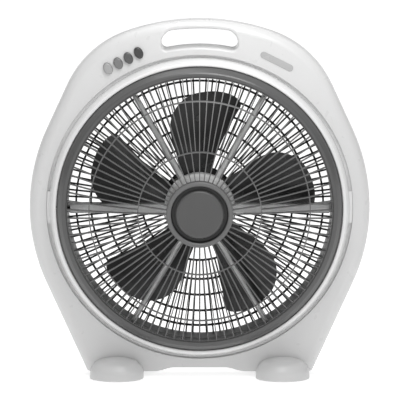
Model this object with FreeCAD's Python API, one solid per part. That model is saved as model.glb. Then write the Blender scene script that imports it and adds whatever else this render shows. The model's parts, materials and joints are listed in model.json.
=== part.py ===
"""Box fan of the 40 cm class: a slim two-shell housing with a carrying handle, a five-blade impeller,
a flat rear grille and a slowly turning domed louvre wheel at the front.

Every piece is drawn in the fan frame and moved to the row frame when it is written.
Fan frame: x to the right as seen from the front, y up from the wheel axis, z forward ("depth")
from the back of the rear grille. Row frame: X right, Y to the back, Z up, origin on the floor
under the middle of the fan's box. All sizes are in millimetres.
"""

import FreeCAD, Part
import math
import os
from FreeCAD import Vector

# ---------------------------------------------------------------- driving dimensions
AXIS_HEIGHT = 249.0  # wheel axis above the floor
DEPTH_CENTRE = 47.0  # depth half way between the feet's backs and the louvre wheel's cap

# housing outline, about the wheel axis
HALF_WIDTH = 247.4
WAIST_R = 267.0
WAIST_BELOW = 1.3
SIDE_TILT = 24.7  # degrees from upright, above and below the waist
SHOULDER_R = 149.0
TOP_R = 320.0
TOP_ABOVE = 272.4
LEG_BELOW = 241.6
ARCH_RISE = 6.0
ARCH_FOOT_X = 68.0
ARCH_TOP_X = 34.0

# housing depths
HOUSING_BACK = -6.0
PARTING = 20.0
HOUSING_FRONT = 46.0
WALL = 2.5
EDGE_R = 14.0

# handle
HANDLE_BAR = 11.6
HANDLE_HALF = 55.4
HANDLE_UPPER_R = 18.0
HANDLE_LOWER_R = 8.0
HANDLE_SILL_R = 234.0
HANDLE_LIP_R = 4.0

# front opening, bezel and air duct
RECESS_R = 222.5
BEZEL_R = 218.5
BEZEL_LAND_R = 213.5
BEZEL_BORE_R = 208.4
BEZEL_FRONT = 65.0
BEZEL_WALL = 2.4
TAB_HALF_ANGLE = 6.0
DUCT_FRONT_R = 193.5
DUCT_BACK_R = 190.5
DUCT_BACK = 4.2
FLANGE_BACK = 38.0  # the bezel's flange, at the bottom of the groove
FLANGE_FRONT = 40.5
LEDGE_R = 213.0  # ledge of the front housing, held between the bezel's flange and the duct's
LEDGE_THICK = 1.7
DUCT_RIM_R = 221.0
DUCT_RIM_THICK = 2.5
SANDWICH_GAP = 0.1

# rear grille
REAR_HOLE_R = 196.0
REAR_RIM_R = 195.7
REAR_RINGS = (84.0, 112.0, 135.2, 158.4, 180.0)
REAR_RING_WIDTH = 2.8
REAR_SPOKES = 120
REAR_SPOKE_WIDTH = 2.2
REAR_THICK = 4.0
REAR_PLATE_R = 55.0
MOTOR_HOLE_R = 43.0

# louvre wheel
DOME_FRONT = 126.0
DOME_R = 385.0
SLAT_DEPTH = 8.0
SLAT_WIDTH = 1.35
LOUVRE_RINGS = (89.5, 160.5)
LOUVRE_RING_WIDTH = 1.4
INNER_SLATS = 48
OUTER_SLATS = 96
RIM_OUT_R = 207.5
RIM_IN_R = 194.0
HUB_RIM_R = 48.3
HUB_POCKET_R = 41.3
HUB_FRONT = 127.0
HUB_FLOOR = 118.0
CAP_R = 35.0
LOUVRE_SHAFT_R = 3.0
LOUVRE_SHAFT_BACK = 87.0
LOUVRE_SHAFT_FRONT = 112.0
HUB_BOSS_BACK = 100.0

# spider that carries the louvre wheel
ARM_COUNT = 6
ARM_WIDTH = 6.4
ARM_ROUND_R = 3.1
LEVEL_ARM_WIDTH = 13.4  # the two level arms, one of which carries the louvre motor's lead
GROOVE_WIDTH = 4.6
GROOVE_FRONT = 54.5
ARM_BACK = 46.0
ARM_FRONT = 58.0
LEVEL_ARM_FRONT = 62.0
ARM_START = 48.0
ARM_END = 188.0
LUG_START = 185.6
LUG_THICK = 5.5
LUG_R = 5.4
LEVEL_ROUND_R = 2.4
LOUVRE_MOTOR_SCREW_X = (-29.0, 29.0)
SPIDER_HUB_R = 51.5
SPIDER_NOSE_R = 34.0
SPIDER_NOSE = 96.0
LUG_REACH = 203.0
LUG_SCREW_R = 198.5

# impeller and its motor
BLADE_COUNT = 5
BLADE_THICK = 2.2
IMPELLER_HUB_R = 45.0
IMPELLER_BACK = 12.0
IMPELLER_FRONT = 46.0
SHAFT_R = 4.0
RUN_CLEARANCE = 0.03
STATOR_R = 41.0
ROTOR_R = 22.0
BUSH_R = 8.0
CORE_BACK = -8.0
CORE_FRONT = 8.0

# buttons
BUTTON_CENTRE = (-110.8, 214.6)
BUTTON_ANGLE = 27.1  # degrees, direction of the row
BUTTON_PITCH = 16.6
BUTTON_HALF_LONG = 8.7
BUTTON_HALF_SHORT = 6.1
BUTTON_PROUD = 5.0
BUTTON_GAP = 0.35
KEY_SKIRT = 6.5  # how far a key reaches behind the housing's face
STEM_R = 2.0
SPRING_R = 3.4
SPRING_PITCH = 2.2
SPRING_WIRE_R = 0.35
BUTTON_NAMES = ("off", "low", "medium", "high")
SWITCH_BACK = 3.0
SWITCH_FRONT = 27.0
SWITCH_HALF = 37.0

# feet
FOOT_X = 120.7
FOOT_BACK = -34.0
FOOT_FRONT = 107.0
PAD_PROUD = 1.0
# half profile of a foot: distance from its middle, height above the floor, radius of the corner
FOOT_PROFILE = (
    (0.0, 29.2, 0.0),
    (10.0, 29.2, 60.0),
    (29.0, 24.4, 17.0),
    (37.4, 14.0, 14.0),
    (39.3, 3.2, 3.0),
    (39.3, PAD_PROUD, 1.0),
    (0.0, PAD_PROUD, 0.0),
)
FOOT_HALF = 39.3
PAD_R = 10.0
PAD_SUNK = 3.0
FOOT_SCREW_DEPTHS = (8.0, 32.0)  # one into each half of the housing

# cord gland in the back of the right leg, and the capacitor in the left one
GLAND_PLACE = (132.0, -176.0)
GLAND_HOLE_R = 6.6
GLAND_BORE_R = 3.6
GLAND_BACK = -26.0
CAPACITOR_PLACE = (-169.8, -152.0)
CAPACITOR_ANGLE = -62.0
CAPACITOR_EAR = 23.0  # along the case, from its middle to the fixing hole
CAPACITOR_EAR_RISE = 6.0
TERMINAL_ANGLE = -70.0  # degrees about the wheel axis
TERMINAL_R = 209.0
TERMINAL_RISE = 6.0

# inner leads
LEAD_SPOKE = 150.0  # degrees, the spoke that the motor's leads follow
LEAD_DEPTH = 6.4
LEAD_RING_R = 209.0
MAINS_RING_R = 206.0
LOUVRE_LEAD_R = 210.0
LOUVRE_LEAD_DEPTH = 14.0
LEAD_HOLE_R = 2.2
LEAD_BEND_R = 5.0
CAPACITOR_LEAD_R = 215.0

# fasteners: x, y of the shell screws about the wheel axis
SHELL_SCREW_PAIRS = ((178, 158), (75, 243), (226, 0), (160, -198))
SHELL_SCREWS = [(side * x, y) for x, y in SHELL_SCREW_PAIRS for side in (-1, 1)]
BOSS_R = 5.0
POST_R = 4.0
LEG_BOSS_HEIGHT = 15.0
SCREW_R = 1.9

Z = Vector(0, 0, 1)
ORIGIN = Vector(0, 0, 0)


# ---------------------------------------------------------------- helpers
def polar(radius, degrees, depth=0.0):
    a = math.radians(degrees)
    return Vector(radius * math.cos(a), radius * math.sin(a), depth)


def rod(radius, back, front, x=0.0, y=0.0):
    """A cylinder along the depth, between two depths."""
    return Part.makeCylinder(radius, front - back, Vector(x, y, back), Z)


def tube(outer, inner, back, front, x=0.0, y=0.0):
    return rod(outer, back, front, x, y).cut(rod(inner, back - 1, front + 1, x, y))


def revolve(profile):
    """Turns a closed list of (radius, depth) points about the wheel axis."""
    points = [Vector(r, 0, d) for r, d in profile]
    face = Part.Face(Part.makePolygon(points + points[:1]))
    return face.revolve(ORIGIN, Z, 360)


def repeat(shape, count, start=0.0):
    """Copies of shape, evenly spaced about the wheel axis."""
    copies = []
    for i in range(count):
        piece = shape.copy()
        piece.rotate(ORIGIN, Z, start + 360.0 * i / count)
        copies.append(piece)
    return copies


def edges_at(shape, depth):
    """Edges that lie wholly in the plane of that depth."""
    return [e for e in shape.Edges if all(abs(v.Z - depth) < 1e-4 for v in e.Vertexes)
            and abs(e.BoundBox.ZMax - e.BoundBox.ZMin) < 1e-3]


def rounded_path(points, radii):
    """Straight runs through the points, joined by tangent arcs: one radius for each inner point."""
    edges, last = [], points[0]
    for before, corner, after, radius in zip(points, points[1:], points[2:], radii):
        back, ahead = (before - corner).normalize(), (after - corner).normalize()
        half = (math.pi - back.getAngle(ahead)) / 2
        reach = radius * math.tan(half)
        start, end = corner + back * reach, corner + ahead * reach
        middle = corner + (back + ahead).normalize() * radius * (1 / math.cos(half) - 1)
        edges += [Part.LineSegment(last, start).toShape(), Part.Arc(start, middle, end).toShape()]
        last = end
    return edges + [Part.LineSegment(last, points[-1]).toShape()]


def one_solid(shape):
    """The single solid of a boolean result."""
    solids = shape.removeSplitter().Solids
    if len(solids) != 1:
        raise ValueError(f"expected one solid, got {len(solids)}")
    return solids[0]


def write(name, shape):
    """Moves a shape from the fan frame to the row frame and writes it."""
    placed = shape.copy()
    placed.rotate(ORIGIN, Vector(1, 0, 0), 90)
    placed.translate(Vector(0, DEPTH_CENTRE, AXIS_HEIGHT))
    if not placed.isValid():
        print("not valid:", name)
    placed.exportStep(os.path.join("parts", name + ".step"))
    print(name, len(placed.Solids), "solids", round(placed.Volume / 1000, 1), "cm3")


# ---------------------------------------------------------------- housing
def half_outline(grow):
    """Right half of the outline, from the top middle down to the bottom middle, as edges.
    Its arcs are tangent to their neighbours and the leg's corner is sharp; grow moves it all outwards."""
    tilt = math.radians(SIDE_TILT)
    waist_r, shoulder_r, top_r = WAIST_R + grow, SHOULDER_R + grow, TOP_R + grow
    waist = Vector(HALF_WIDTH - WAIST_R, -WAIST_BELOW, 0)
    out = Vector(math.cos(tilt), math.sin(tilt), 0)
    upward = Vector(-math.sin(tilt), math.cos(tilt), 0)
    upper_start = waist + out * waist_r
    top_centre = Vector(0, TOP_ABOVE - TOP_R, 0)
    # the shoulder's centre lies beside the side line and inside the top arc
    base = upper_start - out * shoulder_r - top_centre
    b, c = base.dot(upward), base.dot(base) - (top_r - shoulder_r) ** 2
    run = -b + math.sqrt(b * b - c)
    shoulder = top_centre + base + upward * run
    upper_end = shoulder + out * shoulder_r
    to_shoulder = (shoulder - top_centre).normalize()
    top_end = top_centre + to_shoulder * top_r
    top_mid = Vector(0, TOP_ABOVE + grow, 0)
    # lower side line, down to the leg
    down_out = Vector(out.x, -out.y, 0)
    down = Vector(upward.x, -upward.y, 0)
    lower_start = waist + down_out * waist_r
    corner = lower_start + down * ((-LEG_BELOW - grow - lower_start.y) / down.y)
    # the arch rises in an S of two equal arcs; grow widens one and narrows the other
    width = ARCH_FOOT_X - ARCH_TOP_X
    turn = 2 * math.atan(ARCH_RISE / width)
    arch_r = width / (2 * math.sin(turn))
    low_centre = Vector(ARCH_FOOT_X, -LEG_BELOW + arch_r, 0)
    high_centre = Vector(ARCH_TOP_X, -LEG_BELOW + ARCH_RISE - arch_r, 0)
    low_r, high_r = arch_r + grow, arch_r - grow

    turn_deg = math.degrees(turn)
    s_start = low_centre + polar(low_r, -90)
    s_mid = low_centre + polar(low_r, -90 - turn_deg)
    s_end = high_centre + polar(high_r, 90)
    half_top = math.degrees(math.atan2(to_shoulder.x, to_shoulder.y)) / 2
    return [
        Part.Arc(top_mid, top_centre + polar(top_r, 90 - half_top), top_end).toShape(),
        Part.Arc(top_end, shoulder + (to_shoulder + out).normalize() * shoulder_r, upper_end).toShape(),
        Part.LineSegment(upper_end, upper_start).toShape(),
        Part.Arc(upper_start, waist + Vector(waist_r, 0, 0), lower_start).toShape(),
        Part.LineSegment(lower_start, corner).toShape(),
        Part.LineSegment(corner, s_start).toShape(),
        Part.Arc(s_start, low_centre + polar(low_r, -90 - turn_deg / 2), s_mid).toShape(),
        Part.Arc(s_mid, high_centre + polar(high_r, 90 - turn_deg / 2), s_end).toShape(),
        Part.LineSegment(s_end, Vector(0, s_end.y, 0)).toShape(),
    ]


def outline_block(back, front, grow=0.0, front_r=0.0, back_r=0.0):
    """The outline extruded between two depths. Its front or back edges can be rounded, down to the
    legs' corners; the edges along the bottom stay sharp."""
    right = half_outline(grow)
    left = [e.mirror(ORIGIN, Vector(1, 0, 0)) for e in right]
    wire = Part.Wire(Part.__sortEdges__(right + left))
    block = Part.Face(wire).extrude(Vector(0, 0, front - back))
    block.translate(Vector(0, 0, back))
    bottom = ARCH_RISE - LEG_BELOW + 1
    for radius, depth in ((front_r, front), (back_r, back)):
        if radius:
            flanks = [e for e in edges_at(block, depth) if e.BoundBox.YMax > bottom]
            block = block.makeFillet(radius, flanks)
    return block


def handle_prism(back, front, grow=0.0):
    """The hand opening: its sill follows the wheel and its top follows the outline."""
    top_centre_y = TOP_ABOVE - TOP_R
    inside_top = rod(TOP_R - HANDLE_BAR + grow, back, front, 0, top_centre_y)
    below_sill = rod(HANDLE_SILL_R - grow, back - 1, front + 1)
    half = HANDLE_HALF + grow
    slab = Part.makeBox(2 * half, 120, front - back, Vector(-half, 180, back))
    prism = inside_top.common(slab).cut(below_sill)
    upright = [e for e in prism.Edges
               if e.BoundBox.ZLength > front - back - 0.01 and e.BoundBox.XLength < 0.01]
    upper = [e for e in upright if e.BoundBox.YMax > HANDLE_SILL_R + 5]
    lower = [e for e in upright if e.BoundBox.YMax <= HANDLE_SILL_R + 5]
    return prism.makeFillet(HANDLE_UPPER_R + grow, upper).makeFillet(HANDLE_LOWER_R + grow, lower)


def button_places():
    """Fan-frame x, y of the four buttons, from the outer one to the one beside the handle."""
    return [row_place(BUTTON_PITCH * k) for k in (-1.5, -0.5, 0.5, 1.5)]


def button_prism(place, back, front, grow=0.0):
    """An elliptic prism whose long axis stands across the row of buttons."""
    curve = Part.Ellipse(ORIGIN, BUTTON_HALF_LONG + grow, BUTTON_HALF_SHORT + grow)
    prism = Part.Face(Part.Wire(curve.toShape())).extrude(Vector(0, 0, front - back))
    prism.rotate(ORIGIN, Z, BUTTON_ANGLE + 90)
    prism.translate(Vector(place[0], place[1], back))
    return prism


def handle_rim(shape, depth):
    """Edges of the hand opening that lie in the front or back face."""
    return [e for e in edges_at(shape, depth) if e.BoundBox.YMin > HANDLE_SILL_R - 8
            and e.BoundBox.YMax < TOP_ABOVE - HANDLE_BAR + 1 and e.BoundBox.XMax < HANDLE_HALF + 1
            and e.BoundBox.XMin > -HANDLE_HALF - 1]


def leg_boss(depth, radius, height, sink=0.0):
    """Upright rods in both legs, on the line of the foot screws."""
    return [Part.makeCylinder(radius, height + sink, Vector(x, -LEG_BELOW - sink, depth), Vector(0, 1, 0))
            for x in (-FOOT_X, FOOT_X)]


def row_place(along):
    """Fan-frame x, y of a point on the line of the buttons."""
    a = math.radians(BUTTON_ANGLE)
    return BUTTON_CENTRE[0] + along * math.cos(a), BUTTON_CENTRE[1] + along * math.sin(a)


def capacitor_ear_place():
    a = math.radians(CAPACITOR_ANGLE)
    return CAPACITOR_PLACE[0] + CAPACITOR_EAR * math.cos(a), CAPACITOR_PLACE[1] + CAPACITOR_EAR * math.sin(a)


def front_housing():
    outer = outline_block(PARTING, HOUSING_FRONT, front_r=EDGE_R)
    outer = outer.cut(handle_prism(PARTING - 1, HOUSING_FRONT + 1))
    outer = outer.cut(rod(RECESS_R, PARTING - 1, HOUSING_FRONT + 1))
    outer = outer.makeFillet(HANDLE_LIP_R, handle_rim(outer, HOUSING_FRONT))
    recess_edge = [e for e in edges_at(outer, HOUSING_FRONT)
                   if 1.9 * RECESS_R < e.BoundBox.YLength < 2.05 * RECESS_R]
    outer = outer.makeFillet(1.2, recess_edge)
    cavity = outline_block(PARTING - 1, HOUSING_FRONT - WALL, grow=-WALL, front_r=EDGE_R - WALL)
    cavity = cavity.cut(handle_prism(PARTING - 2, HOUSING_FRONT, grow=WALL + 2))
    cavity = cavity.cut(rod(RECESS_R + WALL, PARTING - 2, HOUSING_FRONT))
    bosses = [rod(BOSS_R, PARTING - 2, HOUSING_FRONT, x, y) for x, y in SHELL_SCREWS]
    shell = outer.cut(cavity.cut(bosses + leg_boss(FOOT_SCREW_DEPTHS[1], BOSS_R, LEG_BOSS_HEIGHT)))
    ledge_front = FLANGE_BACK - SANDWICH_GAP
    shell = shell.fuse(tube(RECESS_R + 1, LEDGE_R, ledge_front - LEDGE_THICK, ledge_front))
    holes = [rod(SCREW_R + 0.1, PARTING - 1, HOUSING_FRONT - 6, x, y) for x, y in SHELL_SCREWS]
    holes += leg_boss(FOOT_SCREW_DEPTHS[1], SCREW_R + 0.1, LEG_BOSS_HEIGHT - 3, sink=5)
    holes += [button_prism(place, PARTING, HOUSING_FRONT + 1, BUTTON_GAP) for place in button_places()]
    return one_solid(shell.cut(holes))


def rear_housing():
    outer = outline_block(HOUSING_BACK, PARTING, back_r=EDGE_R)
    outer = outer.cut(handle_prism(HOUSING_BACK - 1, PARTING + 1))
    outer = outer.cut(rod(REAR_HOLE_R, HOUSING_BACK - 1, PARTING + 1))
    outer = outer.makeFillet(HANDLE_LIP_R, handle_rim(outer, HOUSING_BACK))
    cavity = outline_block(HOUSING_BACK + WALL, PARTING + 1, grow=-WALL, back_r=EDGE_R - WALL)
    cavity = cavity.cut(handle_prism(HOUSING_BACK, PARTING + 2, grow=WALL + 2))
    cavity = cavity.cut(rod(REAR_HOLE_R + WALL, HOUSING_BACK, PARTING + 2))
    bosses = [rod(BOSS_R, HOUSING_BACK, PARTING + 2, x, y) for x, y in SHELL_SCREWS]
    bosses += leg_boss(FOOT_SCREW_DEPTHS[0], BOSS_R, LEG_BOSS_HEIGHT)
    bosses += [rod(POST_R, HOUSING_BACK, SWITCH_BACK - 0.1, *row_place(side * (SWITCH_HALF - 5)))
               for side in (-1, 1)]
    floor = HOUSING_BACK + WALL
    bosses.append(rod(POST_R, HOUSING_BACK, floor + CAPACITOR_EAR_RISE, *capacitor_ear_place()))
    bosses.append(rod(POST_R, HOUSING_BACK, floor + TERMINAL_RISE, *terminal_place()))
    # a ledge that the rear grille's rim rests against
    shell = outer.cut(cavity.cut(bosses)).fuse(tube(REAR_HOLE_R + 1, REAR_HOLE_R - 4, HOUSING_BACK, -0.1))
    holes = []
    for x, y in SHELL_SCREWS:
        holes.append(rod(SCREW_R + 0.2, HOUSING_BACK - 1, PARTING + 1, x, y))
        holes.append(rod(4.4, HOUSING_BACK - 1, HOUSING_BACK + 12, x, y))
    holes += leg_boss(FOOT_SCREW_DEPTHS[0], SCREW_R + 0.1, LEG_BOSS_HEIGHT - 3, sink=5)
    holes.append(rod(SCREW_R + 0.1, floor, 10, *capacitor_ear_place()))
    holes.append(rod(SCREW_R + 0.1, floor, 10, *terminal_place()))
    holes.append(rod(GLAND_HOLE_R, HOUSING_BACK - 1, floor + 1, *GLAND_PLACE))
    return one_solid(shell.cut(holes + [lead_notch()]))


def cord_gland():
    """Grommet with a tapered sleeve, through which a mains lead would enter. Its bore is open."""
    neck_r, collar_r, barb_r = GLAND_HOLE_R - 0.2, 9.5, 8.2
    inside = HOUSING_BACK + WALL
    gland = revolve([(GLAND_BORE_R, GLAND_BACK), (5.2, GLAND_BACK), (neck_r, HOUSING_BACK - 3.2),
                     (collar_r, HOUSING_BACK - 3.2), (collar_r, HOUSING_BACK - 0.1),
                     (neck_r, HOUSING_BACK - 0.1), (neck_r, inside + 0.2), (barb_r, inside + 0.2),
                     (6.0, inside + 4), (GLAND_BORE_R, inside + 4)])
    gland.translate(Vector(GLAND_PLACE[0], GLAND_PLACE[1], 0))
    return gland


def flange_holes(back, front):
    """Holes for the spider's screws and for the louvre motor's lead, through a flange."""
    holes = [rod(SCREW_R + 0.1, back - 1, front + 1, spot.x, spot.y) for spot in lug_places()]
    passage = polar(LOUVRE_LEAD_R, 180)
    holes.append(rod(LEAD_HOLE_R, back - 1, front + 1, passage.x, passage.y))
    return holes


def bezel_ring():
    """Raised trim ring: a steep flank, a narrow land at the front, a flange that closes the groove
    between it and the housing, and two tabs that bridge the groove."""
    skin_r = BEZEL_R - BEZEL_WALL
    ring = revolve([(DUCT_FRONT_R + 0.4, FLANGE_BACK), (RECESS_R - 0.2, FLANGE_BACK),
                    (RECESS_R - 0.2, FLANGE_FRONT), (BEZEL_R, FLANGE_FRONT), (BEZEL_R, 46.5), (217.4, 52.0),
                    (215.6, 58.0), (BEZEL_LAND_R, 63.4), (212.0, 64.6), (210.8, BEZEL_FRONT),
                    (209.4, BEZEL_FRONT), (BEZEL_BORE_R, 64.0), (BEZEL_BORE_R, 50.0),
                    (BEZEL_BORE_R + BEZEL_WALL, 50.0), (BEZEL_BORE_R + BEZEL_WALL, 62.0), (211.6, 61.6),
                    (213.4, 57.0), (215.2, 51.4), (skin_r, 46.0), (skin_r, FLANGE_FRONT),
                    (DUCT_FRONT_R + 0.4, FLANGE_FRONT)])
    tab_half = RECESS_R * math.tan(math.radians(TAB_HALF_ANGLE))
    tabs = []
    for side in (0, 180):
        wedge = tube(RECESS_R - 0.3, BEZEL_R - 0.5, FLANGE_FRONT - 0.5, HOUSING_FRONT - 0.6)
        keep = Part.makeBox(60, 2 * tab_half, 20, Vector(190, -tab_half, FLANGE_FRONT - 1))
        keep.rotate(ORIGIN, Z, side)
        tabs.append(wedge.common(keep))
    return one_solid(ring.fuse(tabs).cut(flange_holes(FLANGE_BACK, FLANGE_FRONT)))


def air_duct():
    """Slightly tapered cylinder round the impeller, with a stepped flange behind the housing's ledge."""
    top = FLANGE_BACK - SANDWICH_GAP
    step = top - LEDGE_THICK - SANDWICH_GAP
    back = step - DUCT_RIM_THICK
    duct = revolve([(DUCT_BACK_R, DUCT_BACK), (DUCT_BACK_R + WALL, DUCT_BACK), (DUCT_FRONT_R + WALL, back),
                    (DUCT_RIM_R, back), (DUCT_RIM_R, step), (LEDGE_R - 0.3, step), (LEDGE_R - 0.3, top),
                    (DUCT_FRONT_R, top)])
    return one_solid(duct.cut(flange_holes(back, top) + [lead_notch()]))


# ---------------------------------------------------------------- grilles
def window(inner, outer, half_slat, pitch_deg):
    """One opening between two slats of constant width and two rings, as a closed wire."""
    def corner(radius, side):
        a = math.radians(pitch_deg / 2) - math.asin(half_slat / radius)
        return Vector(radius * math.cos(side * a), radius * math.sin(side * a), 0)

    p, q, r, s = corner(inner, -1), corner(outer, -1), corner(outer, 1), corner(inner, 1)
    return Part.Wire([
        Part.LineSegment(p, q).toShape(),
        Part.Arc(q, Vector(outer, 0, 0), r).toShape(),
        Part.LineSegment(r, s).toShape(),
        Part.Arc(s, Vector(inner, 0, 0), p).toShape(),
    ])


def slotted_disc(inner, outer, zones, slat_width, back, front):
    """A disc with rings of windows. Each zone is (inner radius, outer radius, number of windows)."""
    wires = [Part.Wire(Part.makeCircle(outer)), Part.Wire(Part.makeCircle(inner))]
    for r0, r1, count in zones:
        pitch = 360.0 / count
        for i in range(count):
            hole = window(r0, r1, slat_width / 2, pitch)
            hole.rotate(ORIGIN, Z, (i + 0.5) * pitch)
            wires.append(hole)
    face = Part.Face(wires, "Part::FaceMakerBullseye")
    disc = face.extrude(Vector(0, 0, front - back))
    disc.translate(Vector(0, 0, back))
    return disc


def rear_grille():
    half = REAR_RING_WIDTH / 2
    edges = [REAR_PLATE_R] + [r for ring in REAR_RINGS for r in (ring - half, ring + half)]
    edges.append(DUCT_BACK_R + 0.5)
    counts = [REAR_SPOKES // 2] + [REAR_SPOKES] * len(REAR_RINGS)
    zones = [(edges[2 * i], edges[2 * i + 1], count) for i, count in enumerate(counts)]
    disc = slotted_disc(MOTOR_HOLE_R, REAR_RIM_R, zones, REAR_SPOKE_WIDTH, 0, REAR_THICK)
    for spot in motor_screw_places():
        disc = disc.cut(rod(SCREW_R + 0.2, -1, REAR_THICK + 1, spot.x, spot.y))
    return one_solid(disc)


def dome_depth(radius, lowered=0.0):
    """Depth of the louvre wheel's dome at a radius from the axis."""
    r = DOME_R - lowered
    return DOME_FRONT - DOME_R + math.sqrt(r * r - radius * radius)


def louvre_grille():
    """Radial slats and two rings, cut to an even depth under a spherical dome."""
    half = LOUVRE_RING_WIDTH / 2
    inner, outer = LOUVRE_RINGS
    zones = [(HUB_RIM_R + 0.2, inner - half, INNER_SLATS), (inner + half, outer - half, OUTER_SLATS),
             (outer + half, RIM_IN_R - 1.6, OUTER_SLATS)]
    back, front = dome_depth(RIM_IN_R, SLAT_DEPTH) - 4, DOME_FRONT + 2
    disc = slotted_disc(HUB_RIM_R - 1.0, RIM_IN_R - 0.05, zones, SLAT_WIDTH, back, front)
    centre = Vector(0, 0, DOME_FRONT - DOME_R)
    shell = Part.makeSphere(DOME_R, centre).cut(Part.makeSphere(DOME_R - SLAT_DEPTH, centre))
    return one_solid(disc.common(shell))


def louvre_rim():
    """Ring round the slats: an outward slope that carries on from the bezel, then a narrow land."""
    return revolve([(RIM_IN_R, 62.0), (RIM_IN_R, 74.6), (195.0, 75.6), (198.8, 75.4), (200.8, 74.4),
                    (204.2, 70.0), (206.6, 66.0), (RIM_OUT_R, 64.2), (RIM_OUT_R, 53.0),
                    (RIM_OUT_R - 2.2, 53.0), (RIM_OUT_R - 2.2, 62.5), (201.4, 67.4), (198.8, 71.2),
                    (196.4, 72.2), (196.4, 62.0)])


def louvre_hub():
    """Shallow cup in the middle of the wheel, with a boss behind it for the drive shaft."""
    cup = revolve([(0, 113.0), (44.0, 113.0), (47.2, 117.0), (47.2, 124.6), (HUB_RIM_R, 124.8),
                   (HUB_RIM_R - 0.4, 126.2), (46.4, HUB_FRONT), (43.6, HUB_FRONT), (41.9, 126.0),
                   (HUB_POCKET_R, 124.4), (HUB_POCKET_R - 1.2, HUB_FLOOR), (0, HUB_FLOOR)])
    cup = cup.fuse(rod(8.0, HUB_BOSS_BACK, 114.0))
    bore = rod(LOUVRE_SHAFT_R + 0.02, HUB_BOSS_BACK - 1, LOUVRE_SHAFT_FRONT)
    screw_hole = rod(SCREW_R + 0.1, HUB_BOSS_BACK - 1, HUB_FLOOR + 1)
    return one_solid(cup.cut([bore, screw_hole]))


def louvre_cap():
    """Round cap with a soft edge that hides the hub screw."""
    cap = rod(CAP_R, HUB_FLOOR + 0.1, HUB_FRONT + 1.0)
    cap = cap.makeFillet(4.0, edges_at(cap, HUB_FRONT + 1.0))
    return one_solid(cap.cut(rod(6.0, HUB_FLOOR, HUB_FLOOR + 4.2)))


def louvre_shaft():
    """Output shaft of the louvre motor, fast in the hub's boss."""
    shaft = rod(LOUVRE_SHAFT_R, LOUVRE_SHAFT_BACK, LOUVRE_SHAFT_FRONT)
    return shaft.cut(rod(SCREW_R + 0.1, LOUVRE_SHAFT_FRONT - 8, LOUVRE_SHAFT_FRONT + 1))


def pan_screw(head_back, tip, x=0.0, y=0.0, head_r=3.6, head=2.4):
    """Screw driven from the front: a round head with a cross slot, and a plain shank down to its tip."""
    screw = rod(SCREW_R, tip, head_back, x, y).fuse(rod(head_r, head_back, head_back + head, x, y))
    top = head_back + head
    for w, l in ((0.9, 4.0), (4.0, 0.9)):
        screw = screw.cut(Part.makeBox(w, l, 1.2, Vector(x - w / 2, y - l / 2, top - 1.2)))
    return screw


def rear_screw(head_front, tip, x=0.0, y=0.0, head_r=3.6, head=2.4):
    """The same screw driven from the back."""
    screw = pan_screw(0, head_front - tip, 0, 0, head_r, head)
    screw.rotate(ORIGIN, Vector(1, 0, 0), 180)
    screw.translate(Vector(x, y, head_front))
    return screw


# ---------------------------------------------------------------- spider and louvre motor
def lug_places():
    return [polar(LUG_SCREW_R, 360.0 * i / ARM_COUNT) for i in range(ARM_COUNT)]


def spider_arm(width, front, round_r):
    """One arm along +X: a beam with a rounded front, and at its end a lug that steps down
    onto the flange."""
    side = -width / 2
    beam = Part.makeBox(ARM_END - ARM_START, width, front - ARM_BACK, Vector(ARM_START, side, ARM_BACK))
    long_edges = [e for e in beam.Edges if e.BoundBox.XLength > 100 and e.BoundBox.ZMin > front - 0.1]
    beam = beam.makeFillet(round_r, long_edges)
    seat = FLANGE_FRONT + 0.1
    lug = Part.makeBox(LUG_REACH - LUG_START, width, LUG_THICK, Vector(LUG_START, side, seat))
    riser = Part.makeBox(6, width, 12, Vector(LUG_START, side, seat))
    return beam.fuse([lug, riser])


def spider():
    """Six arms from the flange to a hollow cone that holds the louvre motor."""
    cone = revolve([(SPIDER_HUB_R, ARM_BACK), (SPIDER_HUB_R, 60.0), (50.4, 63.0), (48.0, 66.5), (40.5, 88.0),
                    (38.0, 92.6), (SPIDER_NOSE_R, SPIDER_NOSE), (10.0, SPIDER_NOSE), (10.0, SPIDER_NOSE - 3),
                    (33.0, SPIDER_NOSE - 3), (35.4, 90.6), (37.6, 86.6), (45.2, 65.0), (47.6, 60.6),
                    (48.9, 58.0), (48.9, ARM_BACK)])
    arms = []
    for i in range(ARM_COUNT):
        angle = 360.0 * i / ARM_COUNT
        if angle in (0, 180):
            arm = spider_arm(LEVEL_ARM_WIDTH, LEVEL_ARM_FRONT, LEVEL_ROUND_R)
        else:
            arm = spider_arm(ARM_WIDTH, ARM_FRONT, ARM_ROUND_R)
            arm = arm.fuse(rod(LUG_R, FLANGE_FRONT + 0.1, FLANGE_FRONT + 0.1 + LUG_THICK, LUG_SCREW_R, 0))
        arm.rotate(ORIGIN, Z, angle)
        arms.append(arm)
    pads = [rod(5.0, 84.2, SPIDER_NOSE - 1, x, 0) for x in LOUVRE_MOTOR_SCREW_X]
    holes = [rod(SCREW_R + 0.1, 30, 70, spot.x, spot.y) for spot in lug_places()]
    holes += [rod(SCREW_R + 0.1, 80, 91, x, 0) for x in LOUVRE_MOTOR_SCREW_X]
    # groove behind the left arm, open above the lug's floor
    groove = Part.makeBox(LUG_REACH - 41, GROOVE_WIDTH, GROOVE_FRONT - ARM_BACK + 3,
                          Vector(-LUG_REACH - 1, -GROOVE_WIDTH / 2, ARM_BACK - 3))
    lug_floor = Part.makeBox(24, GROOVE_WIDTH, LUG_THICK + 0.5,
                             Vector(-LUG_REACH - 1, -GROOVE_WIDTH / 2, FLANGE_FRONT + 0.1))
    return one_solid(cone.fuse(arms + pads).cut(holes + [groove.cut(lug_floor)]))


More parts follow.
